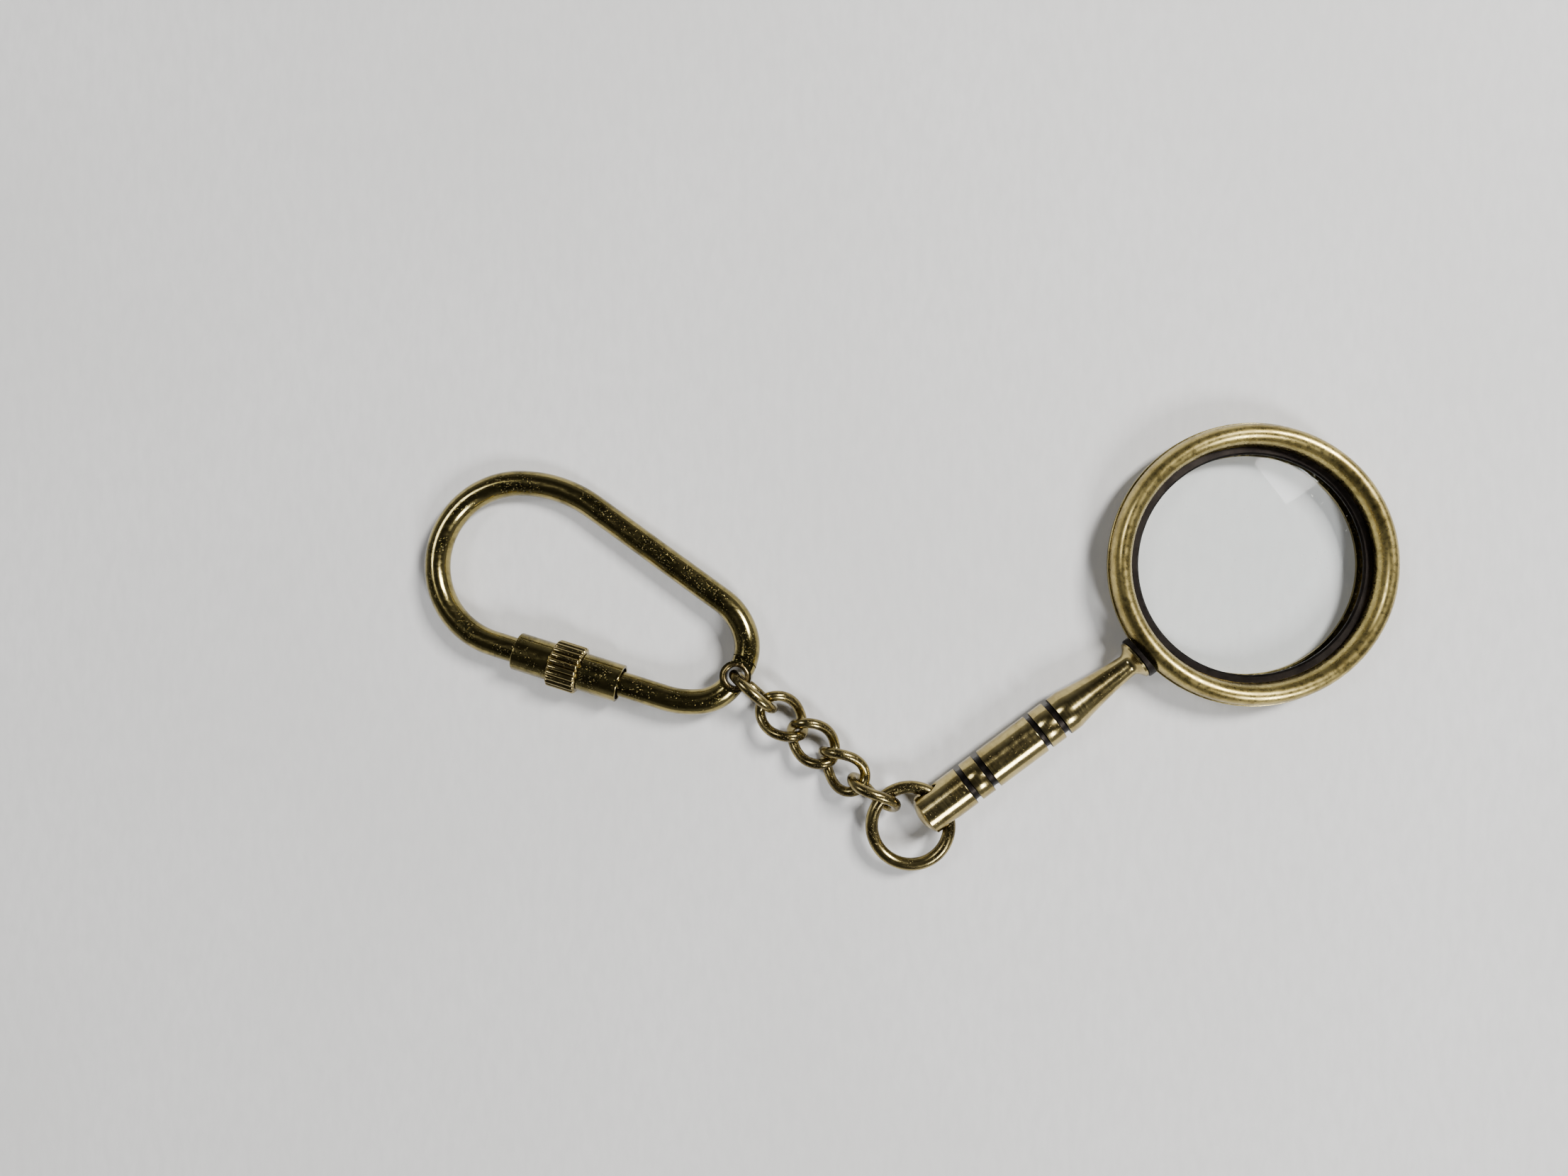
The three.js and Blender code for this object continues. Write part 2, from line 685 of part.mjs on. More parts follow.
function carabiner() {
  const group = new THREE.Group();
  group.add(named("long_arm", longArm(), polishedBrass()));
  group.add(named("hinge_eyelet", hingeEyelet(), polishedBrass()));
  group.add(named("gate_arm", gateArm(), polishedBrass()));
  group.add(named("sleeve_barrel", sleeveBarrel(), polishedBrass()));
  group.add(named("knurled_collar", knurledCollar(), polishedBrass()));
  group.position.set(...CARABINER_PLACE);
  group.rotation.set(CARABINER_TILT * DEGREE, 0, CARABINER_HEADING * DEGREE, "ZYX");
  return group;
}

function placedLink({ name, at, heading, rise, roll }) {
  const isLast = name === LAID_LINKS.at(-1).name;
  const link = named(name, chainLink(isLast ? LAST_LINK_TWIST : LINK_TWIST), chainBrass());
  link.position.set(...at);
  link.rotation.set(roll * DEGREE, -rise * DEGREE, heading * DEGREE, "ZYX");
  return link;
}

// The first link stands upright, one bow through the hinge eyelet.
function uprightLink() {
  const link = named("chain_link_1", chainLink(0), chainBrass());
  const heading = LINK_1_HEADING * DEGREE;
  const reach = LINK_HALF_LENGTH - LINK_1_BACKSET;
  const [x, y, z] = CARABINER_PLACE;
  link.position.set(x + reach * Math.cos(heading), y + reach * Math.sin(heading), z);
  link.rotation.set(Math.PI / 2, 0, heading, "ZYX");
  return link;
}

function chain() {
  const group = new THREE.Group();
  group.add(uprightLink());
  for (const link of LAID_LINKS) group.add(placedLink(link));
  return group;
}

// The ring is held level by the handle's cross-hole and the last link.
function placedRing() {
  const ring = named("jump_ring", jumpRing(), chainBrass());
  ring.position.set(...RING_PLACE, AXIS_HEIGHT);
  ring.rotation.z = HANDLE_HEADING * DEGREE;
  return ring;
}

function magnifier() {
  const group = new THREE.Group();
  group.add(named("handle", handle(), satinBrass()));
  group.add(named("handle_stud", handleStud(), chainBrass()));
  group.add(named("neck_boss", neckBoss(), blackenedBrass()));
  group.add(named("lens_frame", lensFrame(), satinBrass()));
  group.add(named("front_bezel", frontBezel(), satinBrass()));
  group.add(named("retaining_ring", retainingRing(), blackenedBrass()));
  group.add(named("lens", lens(), clearGlass()));
  group.position.set(...HANDLE_PLACE, AXIS_HEIGHT);
  group.rotation.z = HANDLE_HEADING * DEGREE;
  return group;
}

// Moves the laid-out object so that it stands on z = 0, centred on the origin.
function centred(layout) {
  layout.updateMatrixWorld(true);
  const box = new THREE.Box3().setFromObject(layout, true);
  const middle = box.getCenter(new THREE.Vector3());
  layout.position.set(-middle.x, -middle.y, -box.min.z);
  return layout;
}

const keyring = new THREE.Group();
keyring.add(carabiner(), chain(), placedRing(), magnifier());
const object = new THREE.Group();
object.add(centred(keyring));

export default object;
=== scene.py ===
"""Carabiner keyring: every visible piece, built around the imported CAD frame. Shapes are in millimetres."""

import json
import math

import bmesh
import bpy
from mathutils import Matrix, Vector


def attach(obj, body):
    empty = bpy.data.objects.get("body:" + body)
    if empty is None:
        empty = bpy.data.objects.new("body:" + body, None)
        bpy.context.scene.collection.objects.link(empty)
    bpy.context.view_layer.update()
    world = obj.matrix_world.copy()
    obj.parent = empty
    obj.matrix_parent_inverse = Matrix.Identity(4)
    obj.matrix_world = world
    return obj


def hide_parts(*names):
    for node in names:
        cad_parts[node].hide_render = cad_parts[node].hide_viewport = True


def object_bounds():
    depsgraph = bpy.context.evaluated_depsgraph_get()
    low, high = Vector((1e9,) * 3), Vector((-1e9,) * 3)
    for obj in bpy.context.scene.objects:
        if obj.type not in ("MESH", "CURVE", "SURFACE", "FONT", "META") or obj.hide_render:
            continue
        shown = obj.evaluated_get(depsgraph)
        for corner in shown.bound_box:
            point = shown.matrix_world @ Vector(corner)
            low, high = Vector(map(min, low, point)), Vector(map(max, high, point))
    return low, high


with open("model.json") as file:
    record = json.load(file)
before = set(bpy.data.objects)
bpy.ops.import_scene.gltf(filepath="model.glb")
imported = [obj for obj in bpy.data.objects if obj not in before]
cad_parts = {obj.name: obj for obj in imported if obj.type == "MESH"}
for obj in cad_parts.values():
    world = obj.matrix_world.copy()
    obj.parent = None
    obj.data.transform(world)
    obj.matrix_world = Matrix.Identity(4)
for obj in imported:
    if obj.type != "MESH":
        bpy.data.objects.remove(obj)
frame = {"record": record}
cad_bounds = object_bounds()

# ---- Dimensions, in millimetres and degrees --------------------------------------------------------

MM = 0.001
FULL_TURN = 2 * math.pi
RUNNING_GAP = 0.06

ROD_RADIUS = 1.5
ROD_SIDES = 48
START_HEADING = 51.9
BOW_RUNS = [
    {"radius": 5.24, "turn": 55.8},
    {"radius": 7.36, "turn": 39.8},
    {"length": 18.97},
    {"radius": 15.5, "turn": 35.3},
    {"radius": 9.78, "turn": 163.4},
]
GATE_STRAIGHT = 21.5
GATE_BENDS = [
    {"radius": 10.85, "turn": 22.8},
    {"radius": 5.13, "turn": 59.2},
]
CARABINER_PLACE = (-5.48, -10.36, 2.85)
CARABINER_HEADING = -3.3

LAP_GAP = 0.1
TONGUE_RADIUS = 1.85
LOWER_TONGUE_BOTTOM = -1.1
UPPER_TONGUE_TOP = 0.95
LAP_REACH = 2.5
LAP_STEP_RADIUS = 2.6
LAP_OVERLAP_TURN = 30
THROUGH_ROD = 2 * ROD_RADIUS
SPOT_FACE_RADIUS = 1.9
EYELET_OUTER_RADIUS = 1.4
EYELET_HOLE_RADIUS = 1.13
EYELET_FLARE_RADIUS = 1.6
EYELET_FLARE_HEIGHT = 0.1
TEAR_RIPPLE = 0.035
TEARS = [
    {"reach": 0.22, "at": 1.15, "width": 0.09},
    {"reach": -0.15, "at": 1.38, "width": 0.06},
]

MOUTH_FROM_BEND = 3.05
NOSE_LENGTH = 1.36
NOSE_RINGS = [(0.001, 1.45), (0.3, 1.13), (NOSE_LENGTH, 0.05)]
GATE_END_CLEARANCE = 0.12
SLEEVE_LENGTH = 13
SLEEVE_END_ROUND = 0.14
SLEEVE_EDGE = 0.05
BARREL_RADIUS = 2.25
COLLAR_START = 4.4
COLLAR_END = 8.2
COLLAR_SEAT_RADIUS = 1.95
COLLAR_RADIUS = 2.83
COLLAR_ROOT_RADIUS = 2.52
COLLAR_TEETH = 22
STEPS_PER_TOOTH = 12
TOOTH_FULLNESS = 0.7
# How far along from the collar's end, and the share of their height that the teeth have there.
TOOTH_FADE = [(0.0, 0.0), (0.03, 0.25), (0.1, 0.62), (0.2, 0.9), (0.32, 1.0)]
COLLAR_END_DROP = 0.1
TOOTH_SHARP_FROM = 50
SHARP_FROM = 32
MOUTH_BORE_RADIUS = 1.6
TAIL_BORE_RADIUS = 1.92
TAIL_BORE_START = 9.6

LINK_WIRE_RADIUS = 0.65
# The links in the CAD have eight-sided wire. Round wire is drawn with this share of its radius, so that
# neighbouring links don't touch as they swing.
ROUND_WIRE_SHARE = 0.93
LINK_HALF_LENGTH = 3.0
LINK_HALF_WIDTH = 2.2
LINK_FULLNESS = 0.06
LINK_TWIST = 45
LINK_1_BACKSET = 0.3
LINK_1_HEADING = -41
LAID_LINKS = [
    {"number": 2, "at": (0, -15.12, 2.57), "turned": (-39.5, -3.5, -18.5), "twist": LINK_TWIST},
    {"number": 3, "at": (3.54, -18.07, 2.46), "turned": (-40, -1, 3), "twist": LINK_TWIST},
    {"number": 4, "at": (6.94, -21.13, 2.62), "turned": (-41.5, 6.5, 30.5), "twist": LINK_TWIST},
    {"number": 5, "at": (10.57, -23.87, 2.84), "turned": (-34, -7.5, -97.5), "twist": 20},
]

RING_PLACE = (14.88, -27.68)
RING_CENTRELINE_RADIUS = 4.5
RING_WIRE_RADIUS = 0.75
RING_SPLIT_AT = 105
RING_SPLIT_WIDTH = 0.12

HANDLE_PLACE = (15.99, -26.99)
HANDLE_HEADING = 37.2
AXIS_HEIGHT = 2.5
HANDLE_RADIUS = 2.44
GROOVE_RADIUS = 1.95
DOME_LENGTH = 0.9
GROOVES = [(6.65, 7.4), (9.15, 9.95), (16.75, 17.42), (19.3, 20.06)]
GROOVE_EDGE = 0.05
TAPER_START = 21.45
TAPER_END = 29.8
TAPER_HOLLOW = 0.5
WAIST_RADIUS = 1.3
FLANGE_START = 30.8
FLANGE_END = 31.1
FLANGE_RADIUS = 2.28
CROSS_HOLE_FROM_TIP = 2.82
CROSS_HOLE_RADIUS = 1.22
COUNTERSINK_RADIUS = 1.5
COUNTERSINK_DEPTH = 0.3
HOLE_EDGE = 0.04
HOLE_EDGE_INSET = 0.06
BOSS_RADIUS = 2.5
STUD_RADIUS = 0.4
STUD_START = 28.6
STUD_END = 32.25

LENS_AXIS = (47.94, 0.85)
FRAME_RADIUS = 16.22
FRAME_RIM_HEIGHT = 3.0
FRAME_FOOT_RADIUS = 14.3
FRAME_POCKET_RADIUS = 15.3
FRAME_POCKET_FLOOR = 2.2
OPENING_RADIUS = 12.65
LENS_RADIUS = 13.4
LENS_MIDDLE = 1.65
LENS_EDGE = 0.8
LENS_SAGITTA = 1.1
SEAT_HEIGHT = 0.85
SIDE_PLAY = 0.1
CLAMP_BOTTOM = 2.3
CLAMP_TOP = 2.75
BEZEL_SKIRT_BOTTOM = 2.28
BEZEL_SHOULDER = 3.12
BEZEL_OUTER_RADIUS = 16.05
BEZEL_INNER_RADIUS = 13.65
BEZEL_CROWN_START = 3.4
BEZEL_TOP = 5.0
ROUND_SEGMENTS = 192
TURNED_SEGMENTS = 96
HANDLE_SEGMENTS = 128
STUD_SEGMENTS = 32
LINK_SIDES = 28
LINK_STEPS = 112
RING_SIDES = 32
RING_STEPS = 160

# ---- Places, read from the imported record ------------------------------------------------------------


def joint(name):
    return next(j for j in frame["record"]["behaviour"]["joints"] if j["name"] == name)


HINGE = Vector(joint("gate_pivot")["pos_m"]) / MM
HINGE_AXIS = Vector(joint("gate_pivot")["axis"]).normalized()
LAYOUT_SHIFT = HINGE - Vector(CARABINER_PLACE)


def turn(degrees, axis):
    return Matrix.Rotation(math.radians(degrees), 4, axis)


def placed(x, y, z):
    """A point of the layout, moved into the row frame."""
    return Matrix.Translation(Vector((x, y, z)) + LAYOUT_SHIFT)


def carabiner_place():
    heading = math.radians(CARABINER_HEADING)
    x_axis = Vector((math.cos(heading), math.sin(heading), 0))
    y_axis = HINGE_AXIS.cross(x_axis)
    turned = Matrix((x_axis, y_axis, HINGE_AXIS)).transposed().to_4x4()
    return Matrix.Translation(HINGE) @ turned


def magnifier_place():
    return placed(*HANDLE_PLACE, AXIS_HEIGHT) @ turn(HANDLE_HEADING, "Z")


def lens_place():
    return magnifier_place() @ Matrix.Translation((*LENS_AXIS, -AXIS_HEIGHT))


# ---- Meshes -----------------------------------------------------------------------------------------


def grid_object(name, rings, closed_along=False):
    """A tube or a turned body through rings of points; open ends are capped. UVs are in millimetres."""
    sides = len(rings[0])
    count = len(rings)
    build = bmesh.new()
    layer = build.loops.layers.uv.new("surface")
    vertices = [[build.verts.new(point) for point in ring] for ring in rings]
    lengths = [0.0]
    for i in range(count):
        step = (Vector(rings[(i + 1) % count][0]) - Vector(rings[i][0])).length
        lengths.append(lengths[-1] + step)
    middle = [Vector(point) for point in rings[count // 2]]
    girth = sum((middle[k] - middle[k - 1]).length for k in range(sides))
    for i in range(count if closed_along else count - 1):
        for k in range(sides):
            near, far = vertices[i], vertices[(i + 1) % count]
            m = (k + 1) % sides
            face = build.faces.new((near[k], near[m], far[m], far[k]))
            corners = ((i, k), (i, k + 1), (i + 1, k + 1), (i + 1, k))
            for loop, (along, around) in zip(face.loops, corners):
                loop[layer].uv = (lengths[along], girth * around / sides)
    if not closed_along:
        build.faces.new(vertices[0])
        build.faces.new(list(reversed(vertices[-1])))
    bmesh.ops.recalc_face_normals(build, faces=build.faces)
    mesh = bpy.data.meshes.new(name)
    build.to_mesh(mesh)
    build.free()
    made = bpy.data.objects.new(name, mesh)
    bpy.context.scene.collection.objects.link(made)
    return made


def turned_z(name, profile, segments=ROUND_SEGMENTS):
    """A body of revolution about Z from (radius, height) pairs; a closed profile makes a ring."""
    closed = profile[0] == profile[-1]
    points = profile[:-1] if closed else profile
    angles = [FULL_TURN * k / segments for k in range(segments)]
    rings = [[(r * math.cos(a), r * math.sin(a), h) for a in angles] for r, h in points]
    return grid_object(name, rings, closed)


def turned_x(name, profile, segments=TURNED_SEGMENTS):
    """A body of revolution about X from (radius, along) pairs."""
    closed = profile[0] == profile[-1]
    points = profile[:-1] if closed else profile
    angles = [FULL_TURN * k / segments - math.pi / 2 for k in range(segments)]
    rings = [[(h, r * math.cos(a), r * math.sin(a)) for a in angles] for r, h in points]
    return grid_object(name, rings, closed)


def post(radius, bottom, top, segments=TURNED_SEGMENTS):
    return turned_z("cutter", [(radius, bottom), (radius, top)], segments)


def stud_rod(radius, start, end):
    return turned_x("cutter", [(radius, start), (radius, end)], STUD_SEGMENTS)


def combine(target, operation, other):
    """Joins, cuts or intersects target with another object, which is then gone."""
    modifier = target.modifiers.new("combine", "BOOLEAN")
    modifier.operation = operation
    modifier.object = other
    modifier.solver = "EXACT"
    graph = bpy.context.evaluated_depsgraph_get()
    result = bpy.data.meshes.new_from_object(target.evaluated_get(graph))
    target.modifiers.clear()
    target.data = result
    bpy.data.objects.remove(other)
    return target


def arc(centre, semi_axes, start, end, steps):
    points = []
    for i in range(steps + 1):
        a = math.radians(start + (end - start) * i / steps)
        points.append((centre[0] + semi_axes[0] * math.cos(a), centre[1] + semi_axes[1] * math.sin(a)))
    return points


def even_shading(made):
    """Large faces decide the shading, so that narrow chamfers don't make flat faces look bulged."""
    weigh = made.modifiers.new("weigh", "WEIGHTED_NORMAL")
    weigh.keep_sharp = True
    name = made.data.name
    graph = bpy.context.evaluated_depsgraph_get()
    result = bpy.data.meshes.new_from_object(made.evaluated_get(graph))
    made.modifiers.clear()
    made.data.name = "before"
    made.data = result
    result.name = name


def finish_piece(made, node, body, place, material, sharp_from=SHARP_FROM):
    """Scales a mesh to metres, puts it in place, names it after the CAD node that it stands for and hides
    that node.
    The mesh is placed, not the object, so its untouched coordinates are kept for the materials."""
    made.name = node + "_look"
    mesh = made.data
    mesh.name = made.name
    mesh.transform(Matrix.Scale(MM, 4))
    own = mesh.attributes.new("own_place", "FLOAT_VECTOR", "POINT")
    own.data.foreach_set("vector", [c for vertex in mesh.vertices for c in vertex.co])
    location, rotation, _ = place.decompose()
    mesh.transform(Matrix.Translation(location * MM) @ rotation.to_matrix().to_4x4())
    mesh.polygons.foreach_set("use_smooth", [True] * len(mesh.polygons))
    mesh.set_sharp_from_angle(angle=math.radians(sharp_from))
    even_shading(made)
    made.data.materials.clear()
    made.data.materials.append(material)
    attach(made, body)
    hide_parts(node)
    return made


# ---- Carabiner --------------------------------------------------------------------------------------


def walk(start, heading, runs):
    """Stations (x, y, heading in radians) along straight runs and left-hand bends."""
    x, y = start
    h = math.radians(heading)
    stations = [(x, y, h)]
    for run in runs:
        if "turn" in run:
            steps = math.ceil(run["turn"] / 2.5)
            for i in range(1, steps + 1):
                turned = h + math.radians(run["turn"]) * i / steps
                stations.append((
                    x + run["radius"] * (math.sin(turned) - math.sin(h)),
                    y - run["radius"] * (math.cos(turned) - math.cos(h)),
                    turned,
                ))
        else:
            steps = max(2, math.ceil(run["length"]))
            for i in range(1, steps + 1):
                far = run["length"] * i / steps
                stations.append((x + far * math.cos(h), y + far * math.sin(h), h))
        x, y, h = stations[-1]
    return stations


def rod(name, stations, end_rings=()):
    """Round wire along stations; end_rings are (distance past the end, radius) pairs."""
    wire = [(x, y, h, ROD_RADIUS) for x, y, h in stations]
    x, y, h = stations[-1]
    for past, radius in end_rings:
        wire.append((x + past * math.cos(h), y + past * math.sin(h), h, radius))
    angles = [FULL_TURN * k / ROD_SIDES - math.pi / 2 for k in range(ROD_SIDES)]
    rings = []
    for x, y, h, radius in wire:
        across = (-math.sin(h), math.cos(h))
        rings.append([
            (
                x + radius * math.cos(a) * across[0],
                y + radius * math.cos(a) * across[1],
                radius * math.sin(a),
            )
            for a in angles
        ])
    return grid_object(name, rings)


BOW = walk((0, 0), START_HEADING, BOW_RUNS)
GATE_HEADING = BOW[-1][2]


def on_straight(distance):
    x, y, h = BOW[-1]
    return (x + distance * math.cos(h), y + distance * math.sin(h))


def sleeve_place():
    """X runs along the sleeve from its mouth."""
    mouth = Matrix.Translation((*on_straight(MOUTH_FROM_BEND), 0))
    return carabiner_place() @ mouth @ Matrix.Rotation(GATE_HEADING, 4, "Z")


def hinge_hole():
    return post(EYELET_OUTER_RADIUS + RUNNING_GAP, -THROUGH_ROD, THROUGH_ROD)


def long_arm(material):
    runs = [*BOW_RUNS, {"length": MOUTH_FROM_BEND}]
    arm = rod("long_arm", walk((0, 0), START_HEADING, runs), NOSE_RINGS)
    lap_top = -LAP_GAP / 2
    combine(arm, "DIFFERENCE", post(LAP_STEP_RADIUS, lap_top, THROUGH_ROD))
    combine(arm, "DIFFERENCE", post(LAP_STEP_RADIUS, -THROUGH_ROD, LOWER_TONGUE_BOTTOM))
    combine(arm, "UNION", post(TONGUE_RADIUS, LOWER_TONGUE_BOTTOM, lap_top))
    combine(arm, "DIFFERENCE", hinge_hole())
    finish_piece(arm, "long_arm", "long_arm", carabiner_place(), material)


def lap_overlap(lap_bottom):
    """The part of the upper tongue that reaches over the start of the long arm's first bend."""
    first_bend = {"radius": BOW_RUNS[0]["radius"], "turn": LAP_OVERLAP_TURN}
    overlap = rod("overlap", walk((0, 0), START_HEADING, [first_bend]))
    return combine(overlap, "INTERSECT", post(LAP_REACH, lap_bottom, UPPER_TONGUE_TOP))


def gate_arm(material):
    start = MOUTH_FROM_BEND + NOSE_LENGTH + GATE_END_CLEARANCE
    runs = [{"length": GATE_STRAIGHT - start}, *GATE_BENDS]
    arm = rod("gate_arm", walk(on_straight(start), math.degrees(GATE_HEADING), runs))
    lap_bottom = LAP_GAP / 2
    combine(arm, "DIFFERENCE", post(LAP_STEP_RADIUS, -THROUGH_ROD, lap_bottom))
    combine(arm, "DIFFERENCE", post(SPOT_FACE_RADIUS, UPPER_TONGUE_TOP, THROUGH_ROD))
    combine(arm, "UNION", post(TONGUE_RADIUS, lap_bottom, UPPER_TONGUE_TOP))
    combine(arm, "UNION", lap_overlap(lap_bottom))
    combine(arm, "DIFFERENCE", hinge_hole())
    finish_piece(arm, "gate_arm", "gate_arm", carabiner_place(), material)


def torn_edge(angle):
    """How much further out than a plain circle the eyelet's upper rim reaches at this angle."""
    torn = TEAR_RIPPLE * math.sin(3 * angle + 0.5) * math.sin(7 * angle)
    for tear in TEARS:
        torn += tear["reach"] * math.exp(-(((angle - tear["at"]) / tear["width"]) ** 2))
    return torn


def hinge_eyelet(material):
    """A rolled tube whose upper rim is split and a little torn."""
    top = UPPER_TONGUE_TOP + RUNNING_GAP
    bottom = LOWER_TONGUE_BOTTOM - RUNNING_GAP
    profile = [
        (EYELET_HOLE_RADIUS, bottom),
        *arc((1.4, bottom), (0.2, -EYELET_FLARE_HEIGHT), 180, 0, 8)[1:],
        (EYELET_OUTER_RADIUS, bottom),
        (EYELET_OUTER_RADIUS, top),
        *arc((1.38, top), (0.22, EYELET_FLARE_HEIGHT), 0, 180, 10),
        (EYELET_HOLE_RADIUS, top - 0.1),
    ]
    angles = [FULL_TURN * k / TURNED_SEGMENTS for k in range(TURNED_SEGMENTS)]
    rings = []
    for radius, height in profile:
        on_rim = height >= top and radius > EYELET_OUTER_RADIUS
        radii = [radius + torn_edge(a) if on_rim else radius for a in angles]
        rings.append([(r * math.cos(a), r * math.sin(a), height) for r, a in zip(radii, angles)])
    eyelet = grid_object("eyelet", rings, True)
    finish_piece(eyelet, "hinge_eyelet", "long_arm", carabiner_place(), material)


def sleeve_barrel(material):
    soft = SLEEVE_END_ROUND
    edge = SLEEVE_EDGE
    outer = BARREL_RADIUS
    profile = [
        (MOUTH_BORE_RADIUS, edge),
        (MOUTH_BORE_RADIUS + edge, 0),
        *arc((outer - soft, soft), (soft, soft), -90, 0, 6),
        *arc((outer - edge, COLLAR_START - edge), (edge, edge), 0, 90, 3),
        (COLLAR_SEAT_RADIUS, COLLAR_START),
        (COLLAR_SEAT_RADIUS, COLLAR_END),
        *arc((outer - edge, COLLAR_END + edge), (edge, edge), -90, 0, 3),
        *arc((outer - soft, SLEEVE_LENGTH - soft), (soft, soft), 0, 90, 6),
        (TAIL_BORE_RADIUS + 0.04, SLEEVE_LENGTH),
        (TAIL_BORE_RADIUS, SLEEVE_LENGTH - edge),
        (TAIL_BORE_RADIUS, TAIL_BORE_START),
        (MOUTH_BORE_RADIUS, TAIL_BORE_START),
        (MOUTH_BORE_RADIUS, edge),
    ]
    barrel = turned_x("barrel", profile)
    finish_piece(barrel, "sleeve_barrel", "sleeve", sleeve_place(), material)


def knurled_collar(material):
    """Rounded teeth that fade at both ends of the collar."""
    sides = COLLAR_TEETH * STEPS_PER_TOOTH
    height = COLLAR_RADIUS - COLLAR_ROOT_RADIUS
    start = COLLAR_START + RUNNING_GAP
    length = COLLAR_END - COLLAR_START - 2 * RUNNING_GAP
    bore = COLLAR_SEAT_RADIUS + RUNNING_GAP
    stations = TOOTH_FADE + [(length - along, fade) for along, fade in reversed(TOOTH_FADE)]
    rings = [[(start, bore)] * sides]
    for along, fade in stations:
        root = COLLAR_ROOT_RADIUS - COLLAR_END_DROP * (1 - fade)
        ring = []
        for k in range(sides):
            share = (k % STEPS_PER_TOOTH) / STEPS_PER_TOOTH
            rise = math.sin(math.pi * share) ** TOOTH_FULLNESS * fade
            ring.append((start + along, root + height * rise))
        rings.append(ring)
    rings.append([(start + length, bore)] * sides)
    angles = [FULL_TURN * k / sides - math.pi / 2 for k in range(sides)]
    points = [[(x, r * math.cos(a), r * math.sin(a)) for (x, r), a in zip(ring, angles)] for ring in rings]
    collar = grid_object("collar", points, True)
    place = sleeve_place()
    finish_piece(collar, "knurled_collar", "collar", place, material, TOOTH_SHARP_FROM)


# ---- Chain and jump ring ----------------------------------------------------------------------------


def link_point(angle, twist):
    """A rounded oval along X; twist turns its two ends out of flat, opposite ways."""
    x = LINK_HALF_LENGTH * math.cos(angle)
    y = LINK_HALF_WIDTH * math.sin(angle) * (1 + LINK_FULLNESS * math.cos(angle) ** 2)
    turned = -math.radians(twist) * x / LINK_HALF_LENGTH
    return Vector((x, y * math.cos(turned), y * math.sin(turned)))


def wire_loop(name, centreline, radius, sides):
    """Round wire along a closed centreline; its cross-section is carried round without a sudden twist."""
    count = len(centreline)
    tangents = [(centreline[(i + 1) % count] - centreline[i - 1]).normalized() for i in range(count)]
    side = tangents[0].orthogonal().normalized()
    frames = []
    for tangent in tangents:
        side = (side - tangent * side.dot(tangent)).normalized()
        frames.append((side.copy(), tangent.cross(side)))
    last, tangent = frames[-1], tangents[0]
    carried = (last[0] - tangent * last[0].dot(tangent)).normalized()
    slip = math.atan2(carried.dot(frames[0][1]), carried.dot(frames[0][0]))
    rings = []
    for i, (centre, (u, v)) in enumerate(zip(centreline, frames)):
        twist = -slip * i / count
        ring = []
        for k in range(sides):
            a = FULL_TURN * k / sides + twist
            ring.append(centre + radius * (math.cos(a) * u + math.sin(a) * v))
        rings.append(ring)
    return grid_object(name, rings, True)


def chain_link(number, twist, place, material):
    centreline = [link_point(FULL_TURN * i / LINK_STEPS, twist) for i in range(LINK_STEPS)]
    link = wire_loop("link", centreline, LINK_WIRE_RADIUS * ROUND_WIRE_SHARE, LINK_SIDES)
    node = f"chain_link_{number}"
    finish_piece(link, node, f"link_{number}", place, material)


def chain(material):
    heading = math.radians(LINK_1_HEADING)
    reach = LINK_HALF_LENGTH - LINK_1_BACKSET
    x, y, z = CARABINER_PLACE
    first = placed(x + reach * math.cos(heading), y + reach * math.sin(heading), z)
    chain_link(1, 0, first @ turn(LINK_1_HEADING, "Z") @ turn(90, "X"), material)
    for link in LAID_LINKS:
        heading, rise, roll = link["turned"]
        place = placed(*link["at"]) @ turn(heading, "Z") @ turn(-rise, "Y") @ turn(roll, "X")
        chain_link(link["number"], link["twist"], place, material)


def jump_ring(material):
    """A ring of round wire whose two cut ends butt with a hairline between them."""
    gap = RING_SPLIT_WIDTH / RING_CENTRELINE_RADIUS
    rings = []
    for i in range(RING_STEPS + 1):
        a = math.radians(RING_SPLIT_AT) + gap / 2 + (FULL_TURN - gap) * i / RING_STEPS
        ring = []
        for k in range(RING_SIDES):
            b = FULL_TURN * k / RING_SIDES
            r = RING_CENTRELINE_RADIUS + RING_WIRE_RADIUS * math.cos(b)
            ring.append((r * math.cos(a), r * math.sin(a), RING_WIRE_RADIUS * math.sin(b)))
        rings.append(ring)
    ring = grid_object("ring", rings)
    place = placed(*RING_PLACE, AXIS_HEIGHT) @ turn(HANDLE_HEADING, "Z")
    finish_piece(ring, "jump_ring", "ring", place, material)


# ---- Magnifier --------------------------------------------------------------------------------------


